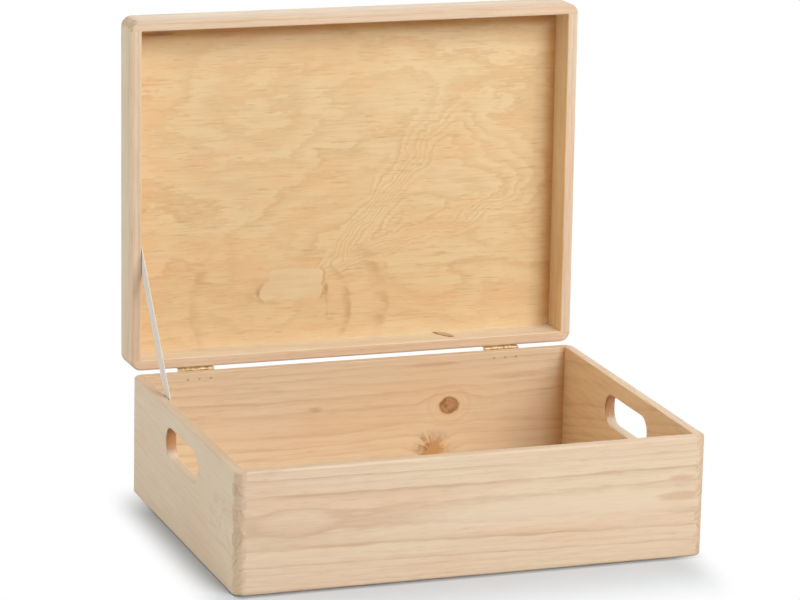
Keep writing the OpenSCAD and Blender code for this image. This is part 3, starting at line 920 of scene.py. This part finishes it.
def shaded_edges_and_pitch(tree, at, color, ply):
    """Painted shade beside the right rail and under the front one, paler veneer above the back one, and
    pitch.
    """
    across = tree.parts(at)
    beside = tree.math("SUBTRACT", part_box("lid_right_rail")[1].x - BOARD, across[0])
    under = tree.math("SUBTRACT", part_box("lid_front_rail")[1].z - BOARD, across[1])
    above = tree.math("SUBTRACT", across[1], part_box("lid_back_rail")[0].z + BOARD)
    # corner is the painted shade of the right and front rails on the panel
    corner = tree.math("MAXIMUM", tree.fade(beside, 0.0, 0.014), tree.fade(under, 0.007, 0.0165))
    streak = tree.rough(face_distance(tree, at, *PITCH_STREAK), 1.4, at, flat(70.0, 700.0))
    return tree.paint(
        color,
        (corner, ply.corner, "MULTIPLY"),
        (tree.fade(above, 0.0, 0.012, 0.5), ply.patch),
        (tree.fade(streak, 0.3, 1.2, 0.8), ply.seam))


def finish_lid_panel(ply):
    """Plywood of the lid: a veneer with a patch and nested lines inside, and a plainer one outside."""
    material, tree, shader = new_material("Lid panel plywood")
    at, edge = panel_coordinates(tree, LID_AXES)
    inner = nested_veneer(tree, at, edge)
    color = shaded_edges_and_pitch(tree, at, inlaid_patch(tree, at, inner["Color"], ply), ply)
    field = sloping_field(tree, at, OUTER_CLIMB, hill(tree, at, *OUTER_HILL))
    outer = veneer(tree, at, edge, field, seed=11.6)
    outside = tree.smooth(tree.parts(tree.coordinates()[1])[1], 0.0, 0.1)
    color = tree.mix(outside, color, outer["Color"])
    put_wood(tree, shader, color, inner, **SANDED_VENEER)
    put_material(NODES["lid_panel"], material)


def finish_bottom_panel():
    """Plywood of the bottom, from a plainer part of the log."""
    material, tree, shader = new_material("Bottom panel plywood")
    at, edge = panel_coordinates(tree, BOTTOM_AXES)
    field = sloping_field(tree, at, BOTTOM_CLIMB, hill(tree, at, *BOTTOM_HILL))
    plain = veneer(tree, at, edge, field, seed=8.1)
    put_wood(tree, shader, plain["Color"], plain, **SANDED_VENEER)
    put_material(NODES["bottom_panel"], material)


# ---------------------------------------------------------------- brass


NAILS_IN_LEAF = 3
SHARP_EDGE = math.radians(50)

# The outline of a nail's domed head, as shares of its radius and height, and the bevel of its tip
DOME = ((0.0, 1.0), (0.36, 0.94), (0.66, 0.76), (0.88, 0.5), (0.98, 0.22), (1.0, 0.08), (0.97, 0.0))
TIP_BEVEL = 0.3


def make_brass(brass):
    """Thin brass plating: warm metal that has dulled in small patches, with fine scratches."""
    material, tree, shader = new_material("Brass plating")
    at = tree.coordinates()[0]
    dull = tree.smooth(tree.noise(at, even(420.0), detail=3.0, roughness=0.6), 0.46, 0.68)
    scratch = tree.noise(at, grained(300.0, 2600.0))
    tree.put(shader["Base Color"], tree.paint(
        brass.plate, (dull, brass.worn), (tree.smooth(scratch, 0.5, 0.8, 0.0, 0.35), brass.worn)))
    shader["Metallic"].default_value = 1.0
    rough = tree.total(tree.times(dull, 0.14), tree.smooth(scratch, 0.3, 0.8, 0.0, 0.1), brass.roughness)
    tree.put(shader["Roughness"], rough)
    put_bump(tree, shader, tree.total(tree.times(dull, 0.4), tree.times(scratch, 0.6)), depth=0.00004)
    return material


def spun(profile, sides):
    """Closed mesh of a round piece along Z, from its radius and height at each step from top to tip."""
    points, faces = [(0.0, 0.0, profile[0][1])], []
    rings = profile[1:-1]
    for radius, height in rings:
        for i in range(sides):
            turn = 2 * math.pi * i / sides
            points.append((radius * math.cos(turn), radius * math.sin(turn), height))
    points.append((0.0, 0.0, profile[-1][1]))
    tip = len(points) - 1
    for i in range(sides):
        after = (i + 1) % sides
        faces.append((0, 1 + i, 1 + after))
        for ring in range(len(rings) - 1):
            start, below = 1 + ring * sides, 1 + (ring + 1) * sides
            faces.append((start + i, below + i, below + after, start + after))
        last = 1 + (len(rings) - 1) * sides
        faces.append((last + i, tip, last + after))
    mesh = bpy.data.meshes.new("Round piece")
    mesh.from_pydata(points, [], faces)
    mesh.polygons.foreach_set("use_smooth", [True] * len(faces))
    mesh.set_sharp_from_angle(angle=SHARP_EDGE)
    return mesh


def nail_profile(head, rise, shank, deep):
    """Domed nail with its head's underside at height 0 and a blunt bevelled tip."""
    bevel = TIP_BEVEL * shank
    return [(across * head, up * rise) for across, up in DOME] + [
        (shank, 0.0), (shank, -deep + 2 * bevel), (shank - bevel, -deep), (0.0, -deep)]


def placed(mesh, head, direction):
    """Turns a mesh that stands along Z so that its shank points a given way, and puts its head in place."""
    turn = (-Vector(direction)).to_track_quat("Z", "Y").to_matrix().to_4x4()
    mesh.transform(Matrix.Translation(head) @ turn)
    return mesh


def nail_centres(node, brass):
    """Middle of each nail in a leaf's row."""
    low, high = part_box(node)
    radius = (high.x - low.x - (NAILS_IN_LEAF - 1) * brass.nail_pitch) / 2
    middle = (low + high) / 2
    return [Vector((low.x + radius + i * brass.nail_pitch, middle.y, middle.z)) for i in range(NAILS_IN_LEAF)]


def make_row_tree(material):
    """Geometry nodes that set a row of the given piece along X and give it its finish."""
    inputs = {"Geometry": "Geometry", "Count": "Int", "Pitch": "Float"}
    tree, given, sockets = geometry_group("Row of nails", inputs)
    step = tree.joined(given["Pitch"], 0.0, 0.0)
    line = tree.node("GeometryNodeMeshLine", {"Count": given["Count"], "Offset": step})
    row = tree.node("GeometryNodeInstanceOnPoints", {
        "Points": line.outputs[0], "Instance": given["Geometry"]})
    finish_geometry(tree, row.outputs[0], material)
    return tree.tree, sockets


def make_nails(node, body, direction, row, brass):
    """One leaf's row of nails, driven a given way through the leaf by the Geometry Nodes group for a row."""
    low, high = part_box(node)
    centres = nail_centres(node, brass)
    head = centres[0].x - low.x
    way = Vector(direction)
    # The row's box runs from the top of the heads to the tips along the nails' way
    axis = 1 if abs(way.y) > abs(way.z) else 2
    first = centres[0].copy()
    first[axis] = high[axis] if way[axis] < 0 else low[axis]
    first = first + way * brass.nail_head
    deep = high[axis] - low[axis] - brass.nail_head
    nail = spun(nail_profile(head, brass.nail_head, brass.nail_shank, deep), brass.sides)
    piece = new_piece(node.replace("_nails", "_nail_row"), placed(nail, first, way))
    add_group(piece, row, {"Count": NAILS_IN_LEAF, "Pitch": brass.nail_pitch})
    make_plain(piece)
    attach(piece, body)
    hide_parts(node)


def make_tack(node, body, material, brass):
    """Domed tack through the ribbon, driven to the left."""
    low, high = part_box(node)
    head = (high.z - low.z) / 2
    top = Vector((high.x - brass.tack_head, (low.y + high.y) / 2, (low.z + high.z) / 2))
    profile = nail_profile(head, brass.tack_head, brass.tack_shank, top.x - low.x)
    tack = new_piece(node.replace("_tack", "_pin"), placed(spun(profile, brass.sides), top, (-1.0, 0.0, 0.0)))
    put_material(tack, material)
    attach(tack, body)
    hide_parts(node)


# ---------------------------------------------------------------- ribbon


# Points of the ribbon's mesh across and along it
RIBBON_COLUMNS = 13
RIBBON_ROWS = 121

# Where the selvedges start in the weave and in the mesh, as shares of the width, and how far they rise
WOVEN_SELVEDGE = (0.40, 0.43)
RAISED_SELVEDGE = (0.38, 0.42)
SELVEDGE_RISE = 0.00006


def make_ribbon_material(ribbon):
    """Woven ribbon: cross ribs between two plain selvedges, along the ribbon's own UV map in metres."""
    material, tree, shader = new_material("Woven ribbon")
    place = tree.parts(tree.node("ShaderNodeUVMap", uv_map="Weave").outputs[0])
    ribs = tree.math("SINE", tree.times(place[1], 2 * math.pi / ribbon.rib))
    across = tree.math("ABSOLUTE", place[0])
    selvedge = tree.smooth(across, *(share * ribbon.width for share in WOVEN_SELVEDGE))
    cords = tree.math("SINE", tree.times(place[0], 2 * math.pi / ribbon.cord))
    weave = tree.total(tree.times(ribs, tree.math("SUBTRACT", 1.0, selvedge)), tree.times(cords, selvedge))
    height = tree.smooth(weave, -1.0, 1.0)
    mottle = tree.noise(tree.joined(place[0], place[1], 0.0), flat(260.0, 90.0), detail=3.0)
    valley = tree.times(tree.smooth(mottle, 0.3, 0.7, 0.4, 1.0), tree.fade(height, 0.1, 0.7, 0.6))
    tree.put(shader["Base Color"], tree.mix(valley, ribbon.thread, ribbon.valley))
    for name, value in (("Roughness", 0.55), ("Sheen Weight", 0.25), ("Sheen Roughness", 0.4)):
        shader[name].default_value = value
    put_bump(tree, shader, height, depth=0.00012)
    return material


def make_ribbon_tree(material):
    """Geometry nodes that weave a flat ribbon on X and Y, with slight waves that die out at its ends."""
    tree, given, sockets = geometry_group(
        "Ribbon", {"Width": "Float", "Length": "Float", "Tail": "Float", "Ripple": "Float"})
    grid = tree.node("GeometryNodeMeshGrid", {
        "Size X": given["Width"], "Size Y": given["Length"],
        "Vertices X": RIBBON_COLUMNS, "Vertices Y": RIBBON_ROWS})
    place = tree.node("GeometryNodeInputPosition").outputs[0]
    mapped = tree.node("GeometryNodeStoreNamedAttribute", {
        "Geometry": grid.outputs[0], "Name": "Weave", "Value": place}, data_type="FLOAT2", domain="CORNER")
    across, along = (tree.math("ABSOLUTE", part) for part in tuple(tree.parts(place))[:2])
    span = tree.math("SUBTRACT", tree.times(given["Length"], 0.5), given["Tail"])
    inside = tree.fade(tree.math("DIVIDE", along, span), 0.75, 0.96)
    swings = tree.noise(place, (20.0, 38.0, 0.0), detail=1.0)
    lift = tree.times(tree.smooth(swings, 0.3, 0.7), inside, given["Ripple"])
    selvedge = tree.smooth(tree.math("DIVIDE", across, given["Width"]), *RAISED_SELVEDGE)
    raised = tree.joined(0.0, 0.0, tree.total(lift, tree.times(selvedge, SELVEDGE_RISE)))
    moved = tree.node("GeometryNodeSetPosition", {"Geometry": mapped.outputs[0], "Offset": raised})
    finish_geometry(tree, moved.outputs[0], material)
    return tree.tree, sockets


def make_ribbon(ribbon):
    """Ribbon from the base's left board to the lid's left rail, pulled straight between its tacks."""
    low, high = (sum(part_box(tack), Vector()) / 2 for tack in ("stay_base_tack", "stay_lid_tack"))
    low.x = high.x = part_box("lid_stay")[0].x
    run = high - low
    cut = run.length + 2 * ribbon.tail
    piece = new_piece("ribbon_stay", bpy.data.meshes.new("Ribbon"))
    add_group(piece, make_ribbon_tree(make_ribbon_material(ribbon)), {
        "Width": ribbon.width, "Length": cut, "Tail": ribbon.tail, "Ripple": ribbon.ripple})
    thick = piece.modifiers.new("Thickness", "SOLIDIFY")
    thick.thickness = ribbon.thickness
    thick.offset = 1.0
    make_plain(piece)
    forward = run.normalized()
    side = forward.cross(Vector((1.0, 0.0, 0.0)))
    turn = Matrix((side, forward, (1.0, 0.0, 0.0))).transposed().to_4x4()
    piece.data.transform(Matrix.Translation((low + high) / 2) @ turn)
    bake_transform(piece)
    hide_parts("lid_stay")


# ---------------------------------------------------------------- stage


WHITE = (1.0, 1.0, 1.0, 1.0)
EVEN_LIGHT = (0.97, 0.985, 1.0, 1.0)

# The camera's sensor in millimetres, its place in metres and its turns in radians
SENSOR = 36.0
CAMERA_PLACE = (-1.0817, -2.985412, 0.994922)
CAMERA_YAW = 0.343456
CAMERA_PITCH = -0.247947
CAMERA_ROLL = 0.022119

# Lamps, each with the name of the setting for its power, its place, its size and its colour
LAMPS = (
    ("key", (0.81, -2.22, 2.0), 2.0, (1.0, 0.99, 0.975)),
    ("side", (1.84, -1.84, 1.65), 1.5, (1.0, 0.99, 0.975)),
    ("fill", (-2.87, 0.4, 0.93), 1.8, (0.94, 0.985, 0.965)),
    ("back", (0.6, 2.6, 2.0), 2.0, (1.0, 1.0, 1.0)),
)
LAMP_AIM = Vector((0.0, 0.0, 0.15))

# How far the floor reaches from the middle on each side
FLOOR = 6.0

# Two fades on the floor, each with a margin and a scale at the box's left, right, front and back. The first
# is a painted contact shadow under the rounded lower edges, narrower at the left, where all is shade. The
# other ends the shadow.
CONTACT_SHADOW_SIDES = ((0.0, 0.5), (0.0, 1.0), (0.0, 1.0), (0.0, 1.0))
CONTACT_SHADOW_EDGE = (0.0065, 0.0125)
CONTACT_SHADOW_DARKNESS = 0.48
SHADOW_SIDES = ((0.003, 0.039), (-0.027, 0.04), (0.0, 0.125), (-0.075, 0.1))


def make_camera(scene, stage):
    """Camera at the left of the front, a little above the box."""
    data = bpy.data.cameras.new("Camera")
    data.lens = stage.lens
    data.sensor_width = SENSOR
    camera = bpy.data.objects.new("Camera", data)
    camera.matrix_world = (
        Matrix.Translation(CAMERA_PLACE)
        @ Matrix.Rotation(-CAMERA_YAW, 4, "Z")
        @ Matrix.Rotation(math.pi / 2 + CAMERA_PITCH, 4, "X")
        @ Matrix.Rotation(CAMERA_ROLL, 4, "Z"))
    scene.collection.objects.link(camera)
    scene.camera = camera


def seen_directly(tree):
    """1 for rays that come straight from the camera, or by a mirror or through glass."""
    ray = tree.node("ShaderNodeLightPath").outputs
    seen = tree.math("MAXIMUM", ray["Is Camera Ray"], ray["Is Glossy Ray"])
    return tree.math("MAXIMUM", seen, ray["Is Transmission Ray"])


def make_world(scene, stage):
    """White all round where it is seen, and a plain even light on the box."""
    world = bpy.data.worlds.new("Surroundings")
    world.use_nodes = True
    world.node_tree.nodes.clear()
    tree = Tree(world.node_tree)
    light = tree.node("ShaderNodeBackground", {"Color": EVEN_LIGHT, "Strength": stage.world})
    white = tree.node("ShaderNodeBackground", {"Color": WHITE, "Strength": 1.0})
    mixed = tree.node("ShaderNodeMixShader", {
        0: seen_directly(tree), 1: light.outputs[0], 2: white.outputs[0]})
    tree.node("ShaderNodeOutputWorld", {"Surface": mixed.outputs[0]})
    scene.world = world


def make_floor(stage):
    """Pale floor that keeps the box's shadow, and fades into the white surroundings away from it. Its grey
    near the box is partly a painted shadow, and a painted contact shadow lies under the box's edges.
    """
    mesh = bpy.data.meshes.new("Floor")
    corners = [(-FLOOR, -FLOOR, 0.0), (FLOOR, -FLOOR, 0.0), (FLOOR, FLOOR, 0.0), (-FLOOR, FLOOR, 0.0)]
    mesh.from_pydata(corners, [], [(0, 1, 2, 3)])
    floor = new_piece("Floor", mesh)
    material, tree, shader = new_material("Pale floor")
    shader["Roughness"].default_value = 0.8
    shader["Specular IOR Level"].default_value = 0.0
    low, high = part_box("bottom_panel")
    place = tree.parts(tree.coordinates()[0])

    def past(axis, before, after):
        """How far the floor lies past the box along an axis, from the margin and the scale on each side."""
        start = low[axis] - before[0]
        end = high[axis] + after[0]
        under = tree.math("DIVIDE", tree.math("SUBTRACT", start, place[axis]), before[1])
        over = tree.math("DIVIDE", tree.math("SUBTRACT", place[axis], end), after[1])
        return tree.math("MAXIMUM", tree.math("MAXIMUM", under, over), 0.0)

    def outside(left, right, front, back):
        """Distance outside the box, from the margin and the scale of its four sides."""
        return tree.vector("LENGTH", tree.joined(past(0, left, right), past(1, front, back), 0.0))

    # Painted contact shadow: the floor darkens towards black under the box's edges
    contact_shadow = tree.fade(outside(*CONTACT_SHADOW_SIDES), *CONTACT_SHADOW_EDGE, CONTACT_SHADOW_DARKNESS)
    tree.put(shader["Base Color"], tree.mix(contact_shadow, stage.floor, (0.0, 0.0, 0.0)))
    white = tree.node("ShaderNodeEmission", {"Color": WHITE, "Strength": 1.0})
    share = tree.times(tree.smooth(outside(*SHADOW_SIDES), 0.0, 1.0), seen_directly(tree))
    surface = material.node_tree.nodes["Principled BSDF"].outputs[0]
    mixed = tree.node("ShaderNodeMixShader", {0: share, 1: surface, 2: white.outputs[0]})
    tree.put(material.node_tree.nodes["Material Output"].inputs["Surface"], mixed.outputs[0])
    put_material(floor, material)


def make_lamp(name, place, size, power, color):
    """Square soft lamp that looks at the middle of the box."""
    data = bpy.data.lights.new(name, "AREA")
    data.size = size
    data.energy = power
    data.color = color
    lamp = bpy.data.objects.new(name, data)
    turn = (LAMP_AIM - Vector(place)).to_track_quat("-Z", "Y").to_matrix().to_4x4()
    lamp.matrix_world = Matrix.Translation(place) @ turn
    bpy.context.scene.collection.objects.link(lamp)


# ---------------------------------------------------------------- operators


class PINEBOX_OT_stage(bpy.types.Operator):
    """Set up the white floor, the soft lamps and the camera"""
    bl_idname = "pinebox.stage"
    bl_label = "Stage"

    def execute(self, context):
        stage = context.scene.pine_box_stage
        context.scene.view_settings.view_transform = "Standard"
        make_camera(context.scene, stage)
        make_world(context.scene, stage)
        make_floor(stage)
        for name, place, size, color in LAMPS:
            make_lamp(f"{name.capitalize()} lamp", place, size, getattr(stage, name), color)
        return {"FINISHED"}


class PINEBOX_OT_boards(bpy.types.Operator):
    """Finish the base's four boards and the lid's four rails in pine"""
    bl_idname = "pinebox.boards"
    bl_label = "Boards and rails"

    def execute(self, context):
        pine = context.scene.pine_box_pine
        make_pine_group(pine)
        for name, grain in BOARDS.items():
            finish_board(name, pine, **grain)
        return {"FINISHED"}


class PINEBOX_OT_panels(bpy.types.Operator):
    """Finish the lid's panel and the bottom panel in plywood"""
    bl_idname = "pinebox.panels"
    bl_label = "Plywood panels"

    def execute(self, context):
        ply = context.scene.pine_box_plywood
        make_plywood_group(ply)
        finish_lid_panel(ply)
        finish_bottom_panel()
        return {"FINISHED"}


class PINEBOX_OT_brassware(bpy.types.Operator):
    """Finish the hinges in brass, and make their nails and the ribbon's tacks"""
    bl_idname = "pinebox.brassware"
    bl_label = "Hinges, nails and tacks"

    def execute(self, context):
        brass = context.scene.pine_box_brass
        material = make_brass(brass)
        row = make_row_tree(material)
        into_back_board = (0.0, -1.0, 0.0)
        into_back_rail = (0.0, math.sin(LID_LEAN), math.cos(LID_LEAN))
        for side in ("left", "right"):
            for part in ("base_leaf", "lid_leaf", "pin"):
                put_material(NODES[f"{side}_hinge_{part}"], material)
            make_nails(f"{side}_hinge_base_nails", "base", into_back_board, row, brass)
            make_nails(f"{side}_hinge_lid_nails", "lid", into_back_rail, row, brass)
        make_tack("stay_base_tack", "base", material, brass)
        make_tack("stay_lid_tack", "lid", material, brass)
        return {"FINISHED"}


class PINEBOX_OT_ribbon(bpy.types.Operator):
    """Weave the ribbon that stops the lid"""
    bl_idname = "pinebox.ribbon"
    bl_label = "Ribbon stay"

    def execute(self, context):
        make_ribbon(context.scene.pine_box_ribbon)
        return {"FINISHED"}


class PINEBOX_PT_panel(bpy.types.Panel):
    """The steps that finish the box, in order"""
    bl_idname = "PINEBOX_PT_panel"
    bl_label = "Pine Box"
    bl_space_type = "VIEW_3D"
    bl_region_type = "UI"
    bl_category = "Pine Box"

    def draw(self, context):
        for step in STEPS:
            self.layout.operator(step.bl_idname)


GROUPS = {
    "pine_box_pine": PineSettings,
    "pine_box_plywood": PlywoodSettings,
    "pine_box_brass": BrassSettings,
    "pine_box_ribbon": RibbonSettings,
    "pine_box_stage": StageSettings,
}
STEPS = (PINEBOX_OT_stage, PINEBOX_OT_boards, PINEBOX_OT_panels, PINEBOX_OT_brassware, PINEBOX_OT_ribbon)


def register():
    for cls in (*GROUPS.values(), *STEPS, PINEBOX_PT_panel):
        bpy.utils.register_class(cls)
    for name, cls in GROUPS.items():
        setattr(bpy.types.Scene, name, PointerProperty(type=cls))


def unregister():
    for name in GROUPS:
        delattr(bpy.types.Scene, name)
    for cls in reversed((*GROUPS.values(), *STEPS, PINEBOX_PT_panel)):
        bpy.utils.unregister_class(cls)


def main():
    register()
    bpy.ops.pinebox.stage()
    bpy.ops.pinebox.boards()
    bpy.ops.pinebox.panels()
    bpy.ops.pinebox.brassware()
    bpy.ops.pinebox.ribbon()


if __name__ == "__main__":
    main()
